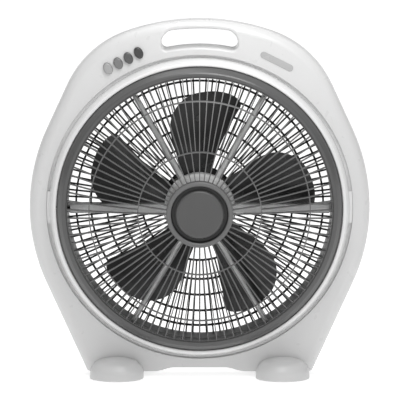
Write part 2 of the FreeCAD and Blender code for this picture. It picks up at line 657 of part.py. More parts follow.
def louvre_motor():
    """Flat geared synchronous motor: a round can with two ears and a collar for its shaft."""
    can = rod(22.0, 64.0, 84.0)
    can = can.makeFillet(1.5, edges_at(can, 64.0))
    ears = Part.makeBox(68.0, 9.0, 1.6, Vector(-34.0, -4.5, 82.4)).cut(rod(21.0, 80, 85))
    can = can.fuse([ears, rod(5.5, 83.0, 86.8)]).cut(rod(LOUVRE_SHAFT_R + RUN_CLEARANCE, 72.0, 90.0))
    for x in LOUVRE_MOTOR_SCREW_X:
        can = can.cut(rod(SCREW_R + 0.1, 80, 86, x, 0))
    return one_solid(can)


# ---------------------------------------------------------------- impeller
def blade_section(radius, lead_depth, trail_depth, camber):
    """Thin cambered profile at one radius, as a closed wire on a flat plane across the blade."""
    half = math.radians(BLADE_LEAD - BLADE_TRAIL) / 2
    mid = math.radians(BLADE_LEAD + BLADE_TRAIL) / 2
    along, outward = Vector(-math.sin(mid), math.cos(mid), 0), Vector(math.cos(mid), math.sin(mid), 0)
    centre = outward * radius
    lead = centre + along * (radius * half) + Vector(0, 0, lead_depth)
    trail = centre - along * (radius * half) + Vector(0, 0, trail_depth)
    chord = lead - trail
    normal = outward.cross(chord).normalize()
    if normal.z < 0:
        normal = normal * -1
    middle = (lead + trail) * 0.5 + normal * camber
    t = normal * BLADE_THICK
    return Part.Wire([
        Part.Arc(trail, middle, lead).toShape(),
        Part.LineSegment(lead, lead + t).toShape(),
        Part.Arc(lead + t, middle + t, trail + t).toShape(),
        Part.LineSegment(trail + t, trail).toShape(),
    ])


# loft stations of a blade: radius, depth of its leading and trailing edge, camber
BLADE_STATIONS = (
    (36.0, 17.5, 37.0, 1.2),
    (80.0, 13.0, 39.5, 3.0),
    (120.0, 11.0, 39.5, 4.5),
    (150.0, 10.5, 38.0, 5.0),
    (178.0, 11.0, 36.0, 5.0),
)
BLADE_LEAD = -4.0  # degrees, leading and trailing limit of the lofted sheet
BLADE_TRAIL = 58.0
# outline of a blade as seen from the front: radius, degrees back from its leading corner
BLADE_OUTLINE = (
    (42.0, 53.0), (54.0, 51.5), (84.0, 46.5), (117.0, 44.0), (129.0, 42.0), (141.0, 38.8), (150.0, 35.2),
    (157.0, 31.5), (162.5, 27.5), (166.0, 22.0), (168.4, 15.5), (168.8, 10.5), (167.6, 6.5), (164.0, 2.6),
    (158.5, 0.4), (150.0, 0.3), (127.0, 1.7), (80.0, 4.5), (42.0, 4.5),
)
BLADE_START = 67.3  # degrees, leading corner of the first blade


def blade_mask():
    """Outline of one blade as a prism: a swept trailing side, a round tip and a straight leading side."""
    points = [polar(r, a) for r, a in BLADE_OUTLINE]
    curve = Part.BSplineCurve()
    curve.interpolate(points)
    root = Part.LineSegment(points[-1], points[0]).toShape()
    return Part.Face(Part.Wire([curve.toShape(), root])).extrude(Vector(0, 0, 60))


def impeller():
    """Moulded hub cup with five cambered blades."""
    body = Part.makeLoft([blade_section(*station) for station in BLADE_STATIONS], True)
    blade = body.common(blade_mask())
    cup = rod(IMPELLER_HUB_R, IMPELLER_BACK, IMPELLER_FRONT)
    cup = cup.makeFillet(5.0, edges_at(cup, IMPELLER_FRONT))
    hub = cup.fuse(repeat(blade, BLADE_COUNT, BLADE_START))
    hub = hub.cut(rod(IMPELLER_HUB_R - WALL, IMPELLER_BACK - 8, IMPELLER_FRONT - 3))
    boss = tube(9.0, SHAFT_R + 0.02, 23.0, IMPELLER_FRONT - 2)
    return one_solid(hub.fuse(boss).cut(rod(SHAFT_R + 0.02, 0, 60)))


def impeller_nut():
    """Round clamping nut with six grip flats, on the shaft's front end."""
    nut = rod(13.0, IMPELLER_FRONT + 0.1, IMPELLER_FRONT + 9)
    nut = nut.makeFillet(1.5, edges_at(nut, IMPELLER_FRONT + 9))
    grips = repeat(rod(3.0, 0, 80, 14.6, 0), 6, 30)
    return one_solid(nut.cut(Part.makeCompound(grips)).cut(rod(SHAFT_R + 0.02, 0, IMPELLER_FRONT + 6)))


# ---------------------------------------------------------------- fan motor
def motor_screw_places():
    return [polar(47.4, 45 + 90 * i) for i in range(4)]


def motor_front_shell():
    """Front bell with the mounting flange and the seat of the front bush."""
    bell = revolve([(STATOR_R + 0.2, 4.2), (52.5, 4.2), (52.5, 6.6), (STATOR_R + 2.4, 6.6),
                    (STATOR_R + 2.4, 9.0), (38.2, 17.6), (14.0, 17.6), (11.4, 20.0), (BUSH_R, 20.0),
                    (BUSH_R, 13.0), (12.0, 13.0), (14.0, 15.4), (36.4, 15.4), (STATOR_R + 0.2, 9.4)])
    holes = [rod(SCREW_R + 0.1, 0, 12, spot.x, spot.y) for spot in motor_screw_places()]
    # slot in the flange where the leads come in
    slot = Part.makeBox(12, 13, 4, Vector(STATOR_R + 2.4, -6.5, 3))
    slot.rotate(ORIGIN, Z, LEAD_SPOKE)
    return one_solid(bell.cut(holes + [slot]))


def motor_rear_shell():
    return revolve([(STATOR_R + 2.0, -6.0), (STATOR_R + 2.0, -12.0), (38.0, -20.4), (14.0, -20.4),
                    (11.4, -23.4), (BUSH_R, -23.4), (BUSH_R, -16.4), (12.0, -16.4), (13.0, -18.2),
                    (36.6, -18.2), (STATOR_R - 0.4, -11.0), (STATOR_R - 0.4, CORE_BACK - 0.1),
                    (STATOR_R + 0.1, CORE_BACK - 0.1), (STATOR_R + 0.1, -6.0)])


def stator_core():
    """Laminated stack with twelve winding slots round the rotor bore."""
    core = tube(STATOR_R, ROTOR_R + 0.5, CORE_BACK, CORE_FRONT)
    slot = Part.makeBox(11.0, 5.0, 40.0, Vector(24.5, -2.5, -20))
    return one_solid(core.cut(Part.makeCompound(repeat(slot, 12))))


def stator_coils():
    """Winding heads on both faces of the stack, as two closed rings."""
    def ring(back, front):
        coil = tube(35.4, 24.6, back, front)
        return coil.makeFillet(1.6, coil.Edges)

    back, front = ring(CORE_BACK - 7.4, CORE_BACK - 0.1), ring(CORE_FRONT + 0.1, CORE_FRONT + 6.8)
    return Part.makeCompound([back, front])


def bush(back, front):
    return tube(BUSH_R - 0.02, SHAFT_R + RUN_CLEARANCE, back, front)


def motor_shaft():
    """Steel shaft through both bushes to the impeller nut."""
    shaft = rod(SHAFT_R, -22.5, IMPELLER_FRONT + 5.5)
    return shaft.makeFillet(0.6, edges_at(shaft, IMPELLER_FRONT + 5.5))


def rotor_core():
    """Squirrel-cage rotor with its end rings."""
    core = rod(ROTOR_R, CORE_BACK, CORE_FRONT).fuse([rod(18.0, CORE_BACK - 2.5, CORE_FRONT + 2.5)])
    return one_solid(core.cut(rod(SHAFT_R + 0.02, -30, 30)))


def motor_cover():
    """Domed cover behind the motor, with three rings of air slots."""
    dome = revolve([(0, -32.0), (34.0, -32.0), (42.0, -30.0), (49.0, -24.0), (52.0, -14.0), (52.0, -0.1),
                    (49.8, -0.1), (49.8, -13.6), (47.2, -22.6), (41.0, -27.9), (33.6, -29.8), (0, -29.8)])
    for r0, r1, count in ((8.0, 17.0, 8), (20.0, 31.0, 16)):
        slot = window(r0, r1, 1.4, 360.0 / count)
        cutter = Part.Face(slot).extrude(Vector(0, 0, 10))
        cutter.translate(Vector(0, 0, -36))
        dome = dome.cut(Part.makeCompound(repeat(cutter, count)))
    pads = [rod(4.4, -3.4, -0.1, p.x, p.y) for p in motor_screw_places()]
    dome = dome.fuse(pads)
    for spot in motor_screw_places():
        dome = dome.cut(rod(SCREW_R + 0.1, -3.5, 1, spot.x, spot.y))
    return one_solid(dome)


# ---------------------------------------------------------------- buttons and switch
def button_cap(place):
    """Elliptic key cap with a soft edge, on a flange that keeps it behind the housing."""
    front = HOUSING_FRONT + BUTTON_PROUD
    cap = button_prism(place, HOUSING_FRONT - KEY_SKIRT, front)
    cap = cap.makeFillet(2.2, edges_at(cap, front))
    flange = button_prism(place, HOUSING_FRONT - KEY_SKIRT, HOUSING_FRONT - WALL - 0.6, 1.1)
    return one_solid(cap.fuse(flange))


def button_stem(place):
    """Plunger between the key cap and the switch."""
    return rod(STEM_R, SWITCH_FRONT - 4.6, HOUSING_FRONT - KEY_SKIRT, *place)


def button_spring(place):
    """Return spring round the plunger."""
    height = HOUSING_FRONT - KEY_SKIRT - SWITCH_FRONT - 1.2
    helix = Part.makeHelix(SPRING_PITCH, height, SPRING_R)
    start = Part.Wire(Part.makeCircle(SPRING_WIRE_R, Vector(SPRING_R, 0, 0), Vector(0, 1, 0)))
    coil = Part.Wire(helix.Edges).makePipeShell([start], True, True)
    coil.translate(Vector(place[0], place[1], SWITCH_FRONT + 0.5))
    return coil


def switch_block():
    """Four-key switch body with a bore for each plunger, and five terminals behind it."""
    width = 20.0
    body = Part.makeBox(2 * SWITCH_HALF, width, SWITCH_FRONT - SWITCH_BACK,
                        Vector(-SWITCH_HALF, -width / 2, SWITCH_BACK))
    body = body.makeFillet(1.5, [e for e in body.Edges if e.BoundBox.ZLength > 10])
    blade = Part.makeBox(0.8, 6.0, 6.0, Vector(-0.4, -3.0, SWITCH_BACK - 5.0))
    for k in range(-2, 3):
        body = body.fuse(blade.translated(Vector(12.0 * k, 0, 0)))
    body.rotate(ORIGIN, Z, BUTTON_ANGLE)
    body.translate(Vector(BUTTON_CENTRE[0], BUTTON_CENTRE[1], 0))
    bores = [rod(STEM_R + 0.3, SWITCH_FRONT - 14, SWITCH_FRONT + 1, *place) for place in button_places()]
    return one_solid(body.cut(bores))


def capacitor():
    """Run capacitor of the motor, with its mounting ear."""
    case = Part.makeBox(37.0, 18.0, 21.0, Vector(-18.5, -9.0, 0))
    case = case.makeFillet(2.0, [e for e in case.Edges if e.BoundBox.ZLength > 10])
    ear = Part.makeBox(10.0, 10.0, 1.5, Vector(17.5, -5.0, CAPACITOR_EAR_RISE))
    part = case.fuse(ear).cut(rod(SCREW_R + 0.2, 1, 10, CAPACITOR_EAR, 0))
    part.rotate(ORIGIN, Z, CAPACITOR_ANGLE)
    part.translate(Vector(CAPACITOR_PLACE[0], CAPACITOR_PLACE[1], HOUSING_BACK + WALL + 0.1))
    return one_solid(part)


def capacitor_screw():
    seat = HOUSING_BACK + WALL + CAPACITOR_EAR_RISE + 1.7
    return pan_screw(seat, seat - 6.5, *capacitor_ear_place())


def terminal_place():
    spot = polar(TERMINAL_R, TERMINAL_ANGLE)
    return spot.x, spot.y


def terminal_block():
    """Two-way block where the mains lead would be joined, held by one screw."""
    body = Part.makeBox(14.0, 22.0, 8.0, Vector(-7.0, -11.0, 0))
    body = body.makeFillet(1.0, [e for e in body.Edges if e.BoundBox.ZLength > 5])
    cuts = [rod(SCREW_R + 0.2, -1, 10)]
    cuts += [rod(1.6, 3.0, 9.0, x, y) for x in (-3.6, 3.6) for y in (-7.0, 7.0)]
    body = body.cut(cuts)
    body.rotate(ORIGIN, Z, TERMINAL_ANGLE)
    x, y = terminal_place()
    body.translate(Vector(x, y, HOUSING_BACK + WALL + TERMINAL_RISE + 0.1))
    return one_solid(body)


def terminal_screw():
    seat = HOUSING_BACK + WALL + TERMINAL_RISE + 8.2
    return pan_screw(seat, seat - 12, *terminal_place())


def lead_notch():
    """Gap in the duct and the housing through which the motor's leads reach their spoke."""
    notch = Part.makeBox(16, 16, 9, Vector(186, -8, 4.1))
    notch.rotate(ORIGIN, Z, LEAD_SPOKE)
    return notch


def bend(corner_r, ring, degrees, side, depth):
    """Arc from a radial run onto a ring: its point on the run, the arc and its angle on the ring."""
    outwards = 1 if corner_r > ring else -1
    centre_r = ring + outwards * LEAD_BEND_R
    lag = math.degrees(math.asin(LEAD_BEND_R / centre_r))
    centre = polar(centre_r, degrees + side * lag, depth)
    on_run = polar(centre_r * math.cos(math.radians(lag)), degrees, depth)
    on_ring = polar(ring, degrees + side * lag, depth)
    middle = centre + ((on_run - centre) + (on_ring - centre)).normalize() * LEAD_BEND_R
    return on_run, Part.Arc(on_run, middle, on_ring).toShape(), degrees + side * lag


def ring_lead(lead_r, ring, depth, start, end):
    """A lead along a ring about the axis. Its ends, (radius, degrees), may leave the ring radially."""
    way = 1 if end[1] > start[1] else -1
    edges, angles = [], []
    for (radius, degrees), side in ((start, way), (end, -way)):
        if radius == ring:
            angles.append(degrees)
            continue
        on_run, arc, ring_deg = bend(radius, ring, degrees, side, depth)
        edges += [Part.LineSegment(polar(radius, degrees, depth), on_run).toShape(), arc]
        angles.append(ring_deg)
    stops = [polar(ring, a, depth) for a in (angles[0], sum(angles) / 2, angles[1])]
    edges.append(Part.Arc(*stops).toShape())
    return sweep(edges, lead_r)


def sweep(edges, lead_r):
    """A round lead along a smooth path of runs and arcs."""
    path = Part.Wire(Part.__sortEdges__(edges))
    start = path.OrderedVertexes[0].Point
    first = path.OrderedEdges[0]
    along = first.tangentAt(first.Curve.parameter(start))
    return path.makePipeShell([Part.Wire(Part.makeCircle(lead_r, start, along))], True, False)


def wiring():
    """Mains lead up the right side, and the leads of the capacitor, the fan motor and the louvre motor."""
    switch_side = 229.8
    motor_side = STATOR_R + 2.6
    mains = ring_lead(2.0, MAINS_RING_R, LEAD_DEPTH, (MAINS_RING_R, TERMINAL_ANGLE + 4),
                      (switch_side, 112.5))
    motor = ring_lead(1.8, LEAD_RING_R, LEAD_DEPTH, (switch_side, 117.0), (motor_side, LEAD_SPOKE - 1.5))
    run = ring_lead(1.4, LEAD_RING_R, LEAD_DEPTH, (CAPACITOR_LEAD_R, 220.0), (motor_side, LEAD_SPOKE + 1.5))
    # the louvre motor's lead follows the level arm, dips under the bezel and goes through the flange
    corners = ((22.5, 70), (38, 70), (45, 50.4), (204, 50.4), (LOUVRE_LEAD_R, 42),
               (LOUVRE_LEAD_R, LOUVRE_LEAD_DEPTH))
    louvre = sweep(rounded_path([Vector(-r, 0, d) for r, d in corners], [3.0] * 4), 1.1)
    return Part.makeCompound([mains, motor, run, louvre])


def name_badge():
    """Blank raised capsule, tilted along the shoulder."""
    length, height, thick = 52.0, 9.5, 0.9
    run = length - height
    ends = [rod(height / 2, 0, thick, x, 0) for x in (-run / 2, run / 2)]
    plate = one_solid(Part.makeBox(run, height, thick, Vector(-run / 2, -height / 2, 0)).fuse(ends))
    plate = plate.makeFillet(0.35, edges_at(plate, thick))
    plate.rotate(ORIGIN, Z, -26.5)
    plate.translate(Vector(112.0, 213.4, HOUSING_FRONT + 0.02))
    return plate


# ---------------------------------------------------------------- feet
def foot_body():
    """A foot before it is fitted to its leg: one crowned profile, run straight and turned at both ends."""
    corners = [(Vector(x, y, 0), r) for x, y, r in FOOT_PROFILE]
    edges = rounded_path([c for c, _ in corners], [r for _, r in corners[1:-1]])
    edges.append(Part.LineSegment(corners[-1][0], corners[0][0]).toShape())
    half = Part.Face(Part.Wire(Part.__sortEdges__(edges)))
    run = FOOT_FRONT - FOOT_BACK - 2 * FOOT_HALF
    end = half.revolve(ORIGIN, Vector(0, 1, 0), 360)
    straight = half.extrude(Vector(0, 0, run))
    body = straight.fuse([straight.mirror(ORIGIN, Vector(1, 0, 0)), end, end.translated(Vector(0, 0, run))])
    return one_solid(body)


def foot(side):
    """Long rounded shoe under one leg. The housing's leg sits in it."""
    shoe = foot_body()
    x = side * FOOT_X
    floor = -AXIS_HEIGHT + PAD_PROUD
    upright = Vector(0, 1, 0)
    shoe.translate(Vector(x, -AXIS_HEIGHT, FOOT_BACK + FOOT_HALF))
    # room for the leg, drawn a little larger than the housing
    gap = 0.2
    leg = outline_block(HOUSING_BACK - gap, HOUSING_FRONT + gap, gap, EDGE_R + gap, EDGE_R + gap)
    cuts = [leg]
    for px, pd in pad_places(side):
        cuts.append(Part.makeCylinder(PAD_R + 0.05, PAD_SUNK, Vector(px, floor - 0.1, pd), upright))
    for pd in FOOT_SCREW_DEPTHS:
        cuts.append(Part.makeCylinder(SCREW_R + 0.2, 30, Vector(x, floor - 1, pd), upright))
        cuts.append(Part.makeCylinder(4.2, 2.9, Vector(x, floor - 0.1, pd), upright))
    return one_solid(shoe.cut(cuts))


def pad_places(side):
    return [(side * FOOT_X, FOOT_BACK + 24.0), (side * FOOT_X, FOOT_FRONT - 24.0)]


def foot_pads(side):
    """Round non-slip pads let into the underside of one foot."""
    pads = []
    for px, pd in pad_places(side):
        height = PAD_PROUD + PAD_SUNK - 0.2
        pad = Part.makeCylinder(PAD_R, height, Vector(px, -AXIS_HEIGHT, pd), Vector(0, 1, 0))
        pads.append(pad.makeFillet(0.6, [e for e in pad.Edges if e.BoundBox.YMax < -AXIS_HEIGHT + 0.1]))
    return Part.makeCompound(pads)


def foot_screws():
    """Screws from below through each foot into the housing's legs."""
    screws = []
    for side in (-1, 1):
        for pd in FOOT_SCREW_DEPTHS:
            screw = rear_screw(0, 12.0)
            screw.rotate(ORIGIN, Vector(1, 0, 0), -90)
            screw.translate(Vector(side * FOOT_X, -AXIS_HEIGHT + PAD_PROUD + 2.6, pd))
            screws.append(screw)
    return Part.makeCompound(screws)


# ---------------------------------------------------------------- everything
def main():
    os.makedirs("parts", exist_ok=True)
    write("front_housing", front_housing())
    write("rear_housing", rear_housing())
    write("bezel_ring", bezel_ring())
    write("air_duct", air_duct())
    write("rear_grille", rear_grille())
    write("cord_gland", cord_gland())
    write("name_badge", name_badge())
    write("housing_screws", Part.makeCompound(
        [rear_screw(HOUSING_BACK + 11.9, HOUSING_FRONT - 7, x, y) for x, y in SHELL_SCREWS]))

    write("spider", spider())
    write("spider_screws", Part.makeCompound(
        [pan_screw(FLANGE_FRONT + LUG_THICK + 0.2, FLANGE_BACK - 6, p.x, p.y) for p in lug_places()]))
    write("louvre_motor", louvre_motor())
    write("louvre_motor_screws", Part.makeCompound(
        [rear_screw(82.3, 90.0, x, 0) for x in LOUVRE_MOTOR_SCREW_X]))

    write("louvre_grille", louvre_grille())
    write("louvre_rim", louvre_rim())
    write("louvre_hub", louvre_hub())
    write("louvre_cap", louvre_cap())
    write("louvre_shaft", louvre_shaft())
    write("louvre_screw", pan_screw(HUB_FLOOR + 0.05, 105.0))

    write("impeller", impeller())
    write("impeller_nut", impeller_nut())
    write("motor_shaft", motor_shaft())
    write("rotor_core", rotor_core())

    write("motor_front_shell", motor_front_shell())
    write("motor_rear_shell", motor_rear_shell())
    write("stator_core", stator_core())
    write("stator_coils", stator_coils())
    write("front_bush", bush(13.0, 20.0))
    write("rear_bush", bush(-23.4, -16.4))
    write("motor_screws", Part.makeCompound([pan_screw(6.7, -3.3, p.x, p.y) for p in motor_screw_places()]))
    write("motor_cover", motor_cover())
    write("capacitor", capacitor())
    write("capacitor_screw", capacitor_screw())
    write("terminal_block", terminal_block())
    write("terminal_screw", terminal_screw())
    write("wiring", wiring())

    write("switch_block", switch_block())
    for name, place in zip(BUTTON_NAMES, button_places()):
        write("button_" + name, button_cap(place))
        write("stem_" + name, button_stem(place))
        write("spring_" + name, button_spring(place))

    for name, side in (("left", -1), ("right", 1)):
        write(name + "_foot", foot(side))
        write(name + "_foot_pads", foot_pads(side))
    write("foot_screws", foot_screws())


main()
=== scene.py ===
"""Visual model of the box fan: a material for every piece, the keys' coil springs, and the studio.

Everything is in metres in the frame's own axes: X right, -Y to the front, Z up.
"""

import bpy
import json
import math
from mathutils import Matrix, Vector


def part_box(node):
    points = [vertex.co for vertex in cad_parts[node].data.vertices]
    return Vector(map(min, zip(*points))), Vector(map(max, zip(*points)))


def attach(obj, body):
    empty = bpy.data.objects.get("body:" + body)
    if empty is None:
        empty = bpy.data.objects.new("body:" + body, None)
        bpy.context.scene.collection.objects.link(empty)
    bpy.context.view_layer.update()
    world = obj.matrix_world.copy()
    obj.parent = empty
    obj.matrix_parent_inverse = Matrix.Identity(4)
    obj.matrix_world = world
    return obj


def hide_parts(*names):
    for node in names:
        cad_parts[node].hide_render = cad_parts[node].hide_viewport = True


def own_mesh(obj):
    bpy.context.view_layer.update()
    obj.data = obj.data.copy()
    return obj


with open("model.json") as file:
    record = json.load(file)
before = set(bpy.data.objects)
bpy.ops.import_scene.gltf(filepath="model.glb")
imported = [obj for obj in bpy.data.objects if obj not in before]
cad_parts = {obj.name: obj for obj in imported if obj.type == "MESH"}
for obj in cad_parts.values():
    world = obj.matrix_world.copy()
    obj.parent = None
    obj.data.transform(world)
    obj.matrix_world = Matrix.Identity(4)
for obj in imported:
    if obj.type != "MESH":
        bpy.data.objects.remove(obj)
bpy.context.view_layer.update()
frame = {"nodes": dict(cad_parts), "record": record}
NODES = frame["nodes"]
HUB_LOW, HUB_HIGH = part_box("louvre_hub")
AXIS = (HUB_LOW + HUB_HIGH) / 2  # a point on the wheel axis, which runs along Y


# ---------------------------------------------------------------- node-tree helpers
RANGE_SOCKETS = ("From Min", "From Max", "To Min", "To Max")


class Tree:
    """Short calls for building one material's nodes."""

    def __init__(self, name):
        self.material = bpy.data.materials.new(name)
        self.material.use_nodes = True
        self.tree = self.material.node_tree
        self.tree.nodes.clear()
        self.output = self.tree.nodes.new("ShaderNodeOutputMaterial")
        self.shader = self.tree.nodes.new("ShaderNodeBsdfPrincipled")
        self.link(self.shader.outputs[0], self.output.inputs["Surface"])
        self.position = self.tree.nodes.new("ShaderNodeTexCoord").outputs["Object"]

    def link(self, a, b):
        self.tree.links.new(a, b)

    def noise(self, scale, detail=2.0, roughness=0.5, stretch=None, distortion=0.0):
        """Noise value. stretch scales each axis before the noise, for brushed or streaked marks."""
        node = self.tree.nodes.new("ShaderNodeTexNoise")
        node.inputs["Scale"].default_value = scale
        node.inputs["Detail"].default_value = detail
        node.inputs["Roughness"].default_value = roughness
        node.inputs["Distortion"].default_value = distortion
        self.link(self.stretched(stretch) if stretch else self.position, node.inputs["Vector"])
        return node.outputs["Fac"]

    def stretched(self, stretch):
        node = self.tree.nodes.new("ShaderNodeMapping")
        node.inputs["Scale"].default_value = stretch
        self.link(self.position, node.inputs["Vector"])
        return node.outputs["Vector"]

    def math(self, operation, a, b=None, clamp=False):
        node = self.tree.nodes.new("ShaderNodeMath")
        node.operation = operation
        node.use_clamp = clamp
        for socket, value in zip(node.inputs, (a, b)):
            if value is None:
                continue
            if isinstance(value, (int, float)):
                socket.default_value = value
            else:
                self.link(value, socket)
        return node.outputs[0]

    def ramp(self, value, low, high, out_low=0.0, out_high=1.0):
        """Maps low..high of a value to out_low..out_high, clamped."""
        node = self.tree.nodes.new("ShaderNodeMapRange")
        self.link(value, node.inputs["Value"])
        for socket, number in zip(RANGE_SOCKETS, (low, high, out_low, out_high)):
            node.inputs[socket].default_value = number
        return node.outputs["Result"]

    def mix(self, factor, a, b):
        """Colour between a and b. Each is a colour or a socket."""
        node = self.tree.nodes.new("ShaderNodeMix")
        node.data_type = "RGBA"
        self.link(factor, node.inputs["Factor"])
        for socket, value in ((node.inputs["A"], a), (node.inputs["B"], b)):
            if isinstance(value, tuple):
                socket.default_value = value
            else:
                self.link(value, socket)
        return node.outputs["Result"]

    def bump(self, height, depth, strength=1.0, under=None):
        """Normal from a height in 0..1 that stands for depth metres."""
        node = self.tree.nodes.new("ShaderNodeBump")
        node.inputs["Distance"].default_value = depth
        node.inputs["Strength"].default_value = strength
        self.link(height, node.inputs["Height"])
        if under is not None:
            self.link(under, node.inputs["Normal"])
        return node.outputs["Normal"]

    def axis(self, name):
        node = self.tree.nodes.new("ShaderNodeSeparateXYZ")
        self.link(self.position, node.inputs[0])
        return node.outputs[name]

    def radius(self):
        """Distance from the wheel axis, in metres."""
        x = self.math("SUBTRACT", self.axis("X"), AXIS.x)
        z = self.math("SUBTRACT", self.axis("Z"), AXIS.z)
        return self.math("SQRT", self.math("ADD", self.math("MULTIPLY", x, x), self.math("MULTIPLY", z, z)))

    def ring_mask(self, inner, outer, soft=0.0008):
        """1 between two radii round the wheel axis, 0 elsewhere, with soft edges."""
        radius = self.radius()
        return self.math("MULTIPLY", self.ramp(radius, inner - soft, inner + soft),
                         self.ramp(radius, outer - soft, outer + soft, 1.0, 0.0))

    def set(self, **sockets):
        for key, value in sockets.items():
            socket = self.shader.inputs[key.replace("_", " ")]
            if isinstance(value, (int, float, tuple)):
                socket.default_value = value
            else:
                self.link(value, socket)


def grey(value, warm=0.0):
    """A nearly neutral linear colour."""
    return (value * (1 + warm), value, value * (1 - warm), 1.0)


RECESS_PAINTED_SHADE = 0.012  # colour of the painted shade in the recess round the centre cap
WAVE_DEPTH = 0.0004  # slow waviness of a moulded face, in metres


def moulded(name, light, dark, rough, grain=1800.0, grain_depth=0.00001, coat=0.0, specular=0.5, warm=0.0,
            recess=None):
    """Injection-moulded plastic: slow shade drift, faint flow streaks, a fine grain and uneven gloss.

    recess is the inner and outer radius of a ring round the wheel axis that is painted dark as shade.
    """
    t = Tree(name)
    drift = t.noise(6.0, 3.0)
    streaks = t.noise(30.0, 3.0, 0.6, stretch=(1.0, 1.0, 0.15))
    blend = t.math("ADD", t.math("MULTIPLY", drift, 0.7), t.math("MULTIPLY", streaks, 0.3))
    shade = t.ramp(blend, 0.35, 0.65)
    colour = t.mix(shade, grey(dark, warm), grey(light, warm))
    if recess:
        # painted shade: the ring in the recess is darkened where shadow falls
        colour = t.mix(t.ring_mask(*recess), colour, grey(RECESS_PAINTED_SHADE))
    t.set(Base_Color=colour)
    t.set(Roughness=t.ramp(t.noise(45.0, 4.0, 0.6), 0.3, 0.7, rough - 0.04, rough + 0.05))
    waves = t.bump(drift, WAVE_DEPTH, 0.25)
    t.set(Normal=t.bump(t.noise(grain, 1.0), grain_depth, 0.5, under=waves))
    t.shader.inputs["Coat Weight"].default_value = coat
    t.shader.inputs["Coat Roughness"].default_value = 0.12
    t.shader.inputs["Specular IOR Level"].default_value = specular
    return t.material


def rubber(name, value):
    """Matt rubber with a light dust."""
    t = Tree(name)
    dust = t.ramp(t.noise(70.0, 5.0, 0.7), 0.45, 0.75)
    t.set(Base_Color=t.mix(dust, grey(value), grey(value * 1.9)))
    t.set(Roughness=t.ramp(t.noise(120.0, 2.0), 0.3, 0.7, 0.62, 0.82))
    t.set(Normal=t.bump(t.noise(1500.0, 2.0), 0.00004, 0.5))
    return t.material


def metal(name, colour, rough, stretch=(1.0, 1.0, 1.0), tarnish=0.75):
    """Turned, drawn or plated metal with fine tool marks along one direction."""
    t = Tree(name)
    marks = t.noise(900.0, 2.0, 0.6, stretch=stretch)
    stain = t.ramp(t.noise(35.0, 4.0, 0.65), 0.4, 0.7)
    dull = tuple(c * tarnish for c in colour[:3]) + (1.0,)
    t.set(Base_Color=t.mix(stain, colour, dull))
    t.set(Roughness=t.ramp(marks, 0.3, 0.7, rough - 0.07, rough + 0.09))
    t.set(Normal=t.bump(marks, 0.00002, 0.4))
    t.shader.inputs["Metallic"].default_value = 1.0
    return t.material


HUB_RECESS = (0.0352, 0.0414)  # radii of the recess between the cap and the wheel's hub ring, where shade is painted
MATERIALS = {
    "shell_white": lambda: moulded("shell_white", 0.62, 0.60, 0.30, coat=0.2),
    "bezel_white": lambda: moulded("bezel_white", 0.73, 0.71, 0.14, grain_depth=0.000003, coat=0.5),
    "foot_grey": lambda: moulded("foot_grey", 0.60, 0.57, 0.38),
    "grille_dark": lambda: moulded("grille_dark", 0.135, 0.120, 0.36, grain=1400.0, grain_depth=0.00002),
    # grille_dark with painted shade in the recess round the centre cap
    "hub_dark_painted_shade": lambda: moulded("hub_dark_painted_shade", 0.135, 0.120, 0.36, grain=1400.0, grain_depth=0.00002,
                                recess=HUB_RECESS),
    "rim_dark": lambda: moulded("rim_dark", 0.078, 0.072, 0.34, coat=0.2),
    "cap_grey": lambda: moulded("cap_grey", 0.080, 0.070, 0.38, grain=1400.0, grain_depth=0.00003),
    "spider_grey": lambda: moulded("spider_grey", 0.80, 0.75, 0.26, coat=0.5),
    "duct_grey": lambda: moulded("duct_grey", 0.22, 0.18, 0.40),
    "rear_black": lambda: moulded("rear_black", 0.008, 0.006, 0.45, specular=0.3),
    "blade_black": lambda: moulded("blade_black", 0.032, 0.022, 0.24, coat=0.3),
    "badge_plate": lambda: moulded("badge_plate", 0.40, 0.36, 0.25, coat=0.3),
    "screw_steel": lambda: metal("screw_steel", (0.55, 0.54, 0.52, 1.0), 0.32),
    "shaft_steel": lambda: metal("shaft_steel", (0.60, 0.60, 0.61, 1.0), 0.22, stretch=(1.0, 12.0, 1.0)),
    "core_steel": lambda: metal("core_steel", (0.30, 0.30, 0.31, 1.0), 0.45, stretch=(0.2, 6.0, 0.2)),
    "motor_shell": lambda: moulded("motor_shell", 0.030, 0.022, 0.35, grain_depth=0.00003),
    "synchro_can": lambda: metal("synchro_can", (0.62, 0.63, 0.64, 1.0), 0.30, stretch=(1.0, 4.0, 1.0)),
    "winding": lambda: metal("winding", (0.55, 0.24, 0.09, 1.0), 0.35, stretch=(1.0, 8.0, 1.0)),
    "bronze": lambda: metal("bronze", (0.50, 0.34, 0.16, 1.0), 0.45),
    "rubber_black": lambda: rubber("rubber_black", 0.010),
    "pad_rubber": lambda: rubber("pad_rubber", 0.045),
    "capacitor_case": lambda: moulded("capacitor_case", 0.016, 0.012, 0.30),
    "switch_case": lambda: moulded("switch_case", 0.55, 0.50, 0.45, warm=0.04),
    "key_light": lambda: moulded("key_light", 0.34, 0.31, 0.28, coat=0.3),
    "key_mid": lambda: moulded("key_mid", 0.165, 0.150, 0.28, coat=0.3),
    "key_dark": lambda: moulded("key_dark", 0.080, 0.070, 0.28, coat=0.3),
    "key_darkest": lambda: moulded("key_darkest", 0.034, 0.028, 0.28, coat=0.3),
    "stem_white": lambda: moulded("stem_white", 0.66, 0.62, 0.35),
    "spring_steel": lambda: metal("spring_steel", (0.55, 0.55, 0.56, 1.0), 0.25),
    "cable": lambda: rubber("cable", 0.014),
}
# nodes whose finish differs a little from their slot's; the hub's variant adds painted shade in its recess
OWN_MATERIAL = {"louvre_hub": "hub_dark_painted_shade", "louvre_rim": "rim_dark"}


def dress_frame():
    """Gives every CAD node the material of its slot, or its own variant of it."""
    built = {}
    for entry in frame["record"]["subparts"]:
        slot = OWN_MATERIAL.get(entry["node"], entry["material_slot"])
        if slot not in built:
            built[slot] = MATERIALS[slot]()
        node = NODES[entry["node"]]
        node.data.materials.clear()
        node.data.materials.append(built[slot])


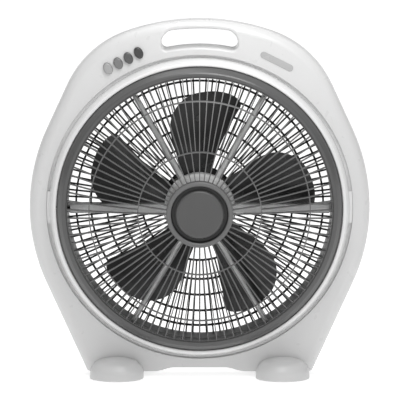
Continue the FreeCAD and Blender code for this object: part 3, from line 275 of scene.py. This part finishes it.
# ---------------------------------------------------------------- springs of the keys
KEYS = ("off", "low", "medium", "high")
WIRE_R = 0.00035
WIRE_SIDES = 10
COIL_STEPS = 36  # segments in one turn
CLOSED_PITCH = 2.1 * WIRE_R
OPEN_TURNS = 7
END_TURNS = 1.25  # turns at CLOSED_PITCH at each end
ALL_TURNS = OPEN_TURNS + 2 * END_TURNS


def coil_rise(turn, length):
    """How far along the axis the wire is after some turns: closed ends, an even pitch between them."""
    closed = CLOSED_PITCH * END_TURNS
    if turn < END_TURNS:
        return CLOSED_PITCH * turn
    if turn > ALL_TURNS - END_TURNS:
        return length - CLOSED_PITCH * (ALL_TURNS - turn)
    return closed + (length - 2 * closed) * (turn - END_TURNS) / OPEN_TURNS


def key_spring(key):
    """Coil spring in place of the plain CAD helix."""
    lo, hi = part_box("spring_" + key)
    middle = (lo + hi) / 2
    coil_r = (hi.x - lo.x) / 2 - WIRE_R
    length = hi.y - lo.y - 2 * WIRE_R
    rings = int(ALL_TURNS * COIL_STEPS) + 1
    points = []
    for i in range(rings):
        turn = i / COIL_STEPS
        angle = 2 * math.pi * turn
        along = hi.y - WIRE_R - coil_rise(turn, length)
        for j in range(WIRE_SIDES):
            around = 2 * math.pi * j / WIRE_SIDES
            r = coil_r + WIRE_R * math.cos(around)
            points.append((middle.x + r * math.cos(angle), along + WIRE_R * math.sin(around),
                           middle.z + r * math.sin(angle)))
    faces = []
    for i in range(rings - 1):
        for j in range(WIRE_SIDES):
            a = i * WIRE_SIDES + j
            b = i * WIRE_SIDES + (j + 1) % WIRE_SIDES
            faces.append((a, b, b + WIRE_SIDES, a + WIRE_SIDES))
    faces.append(tuple(reversed(range(WIRE_SIDES))))
    faces.append(tuple(range((rings - 1) * WIRE_SIDES, rings * WIRE_SIDES)))
    mesh = bpy.data.meshes.new("coil_" + key)
    mesh.from_pydata(points, [], faces)
    mesh.shade_smooth()
    mesh.materials.append(bpy.data.materials["spring_steel"])
    obj = bpy.data.objects.new("coil_" + key, mesh)
    bpy.context.scene.collection.objects.link(obj)
    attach(obj, "housing")
    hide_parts("spring_" + key)
    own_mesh(obj)


# ---------------------------------------------------------------- studio
RIM_PLANE_Y = -0.018
AIM_X = 0.0005
AIM_Z = 0.2622
CAMERA_DISTANCE = 14.0
CAMERA_ELEVATION = math.radians(8.0)
CAMERA_LENS = 868.0
FLOOR_GLOW = 0.48
HORIZON_LIGHT = 0.08
ZENITH_LIGHT = 1.0
GLOW_BAND = (0.055, 0.09)  # height at which the glow along the horizon starts to fade, and ends


def look_at(obj, target):
    obj.rotation_euler = (Vector(target) - obj.location).to_track_quat("-Z", "Y").to_euler()


def camera():
    data = bpy.data.cameras.new("camera")
    data.lens = CAMERA_LENS
    data.sensor_width = 36.0
    data.clip_end = 200.0
    obj = bpy.data.objects.new("camera", data)
    bpy.context.scene.collection.objects.link(obj)
    back = Vector((0, -math.cos(CAMERA_ELEVATION), math.sin(CAMERA_ELEVATION)))
    aim = Vector((AIM_X, RIM_PLANE_Y, AIM_Z))
    obj.location = aim + back * CAMERA_DISTANCE
    look_at(obj, aim)
    bpy.context.scene.camera = obj


def floor():
    """Wide pale floor with a faint mottling."""
    size = 60.0
    mesh = bpy.data.meshes.new("floor")
    corners = [(-size, -size, 0), (size, -size, 0), (size, size, 0), (-size, size, 0)]
    mesh.from_pydata(corners, [], [(0, 1, 2, 3)])
    obj = bpy.data.objects.new("floor", mesh)
    bpy.context.scene.collection.objects.link(obj)
    t = Tree("floor")
    t.set(Base_Color=t.mix(t.noise(3.0, 3.0), grey(0.88), grey(0.90)))
    t.shader.inputs["Roughness"].default_value = 0.9
    t.shader.inputs["Specular IOR Level"].default_value = 0.1
    t.shader.inputs["Emission Color"].default_value = (1.0, 1.0, 1.0, 1.0)
    t.shader.inputs["Emission Strength"].default_value = FLOOR_GLOW
    mesh.materials.append(t.material)


def softbox(name, place, target, size, power):
    data = bpy.data.lights.new(name, "AREA")
    data.shape = "RECTANGLE"
    data.size, data.size_y = size
    data.energy = power
    obj = bpy.data.objects.new(name, data)
    bpy.context.scene.collection.objects.link(obj)
    obj.location = place
    look_at(obj, target)


def sky_ramp(tree, height, span, light):
    """Light that changes over a span of heights on the unit sphere, clamped outside it."""
    node = tree.nodes.new("ShaderNodeMapRange")
    tree.links.new(height, node.inputs["Value"])
    for socket, number in zip(RANGE_SOCKETS, span + light):
        node.inputs[socket].default_value = number
    return node.outputs["Result"]


def sky():
    """Pale surround: a white glow along the horizon, dim above it, brightest overhead."""
    world = bpy.data.worlds.new("studio")
    world.use_nodes = True
    tree = world.node_tree
    split = tree.nodes.new("ShaderNodeSeparateXYZ")
    tree.links.new(tree.nodes.new("ShaderNodeTexCoord").outputs["Generated"], split.inputs[0])
    overhead = sky_ramp(tree, split.outputs["Z"], (0.0, 1.0), (HORIZON_LIGHT, ZENITH_LIGHT))
    glow = sky_ramp(tree, split.outputs["Z"], GLOW_BAND, (1.0, 0.0))
    brighter = tree.nodes.new("ShaderNodeMath")
    brighter.operation = "MAXIMUM"
    tree.links.new(overhead, brighter.inputs[0])
    tree.links.new(glow, brighter.inputs[1])
    tree.links.new(brighter.outputs[0], tree.nodes["Background"].inputs["Strength"])
    tree.nodes["Background"].inputs["Color"].default_value = (1.0, 1.0, 1.0, 1.0)
    bpy.context.scene.world = world


def lights():
    sky()
    softbox("key", (0.10, -0.37, 0.87), (0.03, 0.0, 0.53), (0.30, 0.30), 1.9)
    softbox("top", (-0.15, -0.05, 1.5), (0.0, 0.0, 0.3), (1.2, 0.5), 3.0)
    softbox("front", (0.55, -1.5, 0.95), (0.0, 0.0, 0.25), (0.5, 0.5), 1.6)
    softbox("back", (0.0, 1.1, 0.95), (0.0, 0.0, 0.45), (0.7, 0.3), 1.0)


def studio():
    bpy.context.scene.view_settings.view_transform = "Standard"
    camera()
    floor()
    lights()


# ---------------------------------------------------------------- build
studio()
dress_frame()
for key_name in KEYS:
    key_spring(key_name)
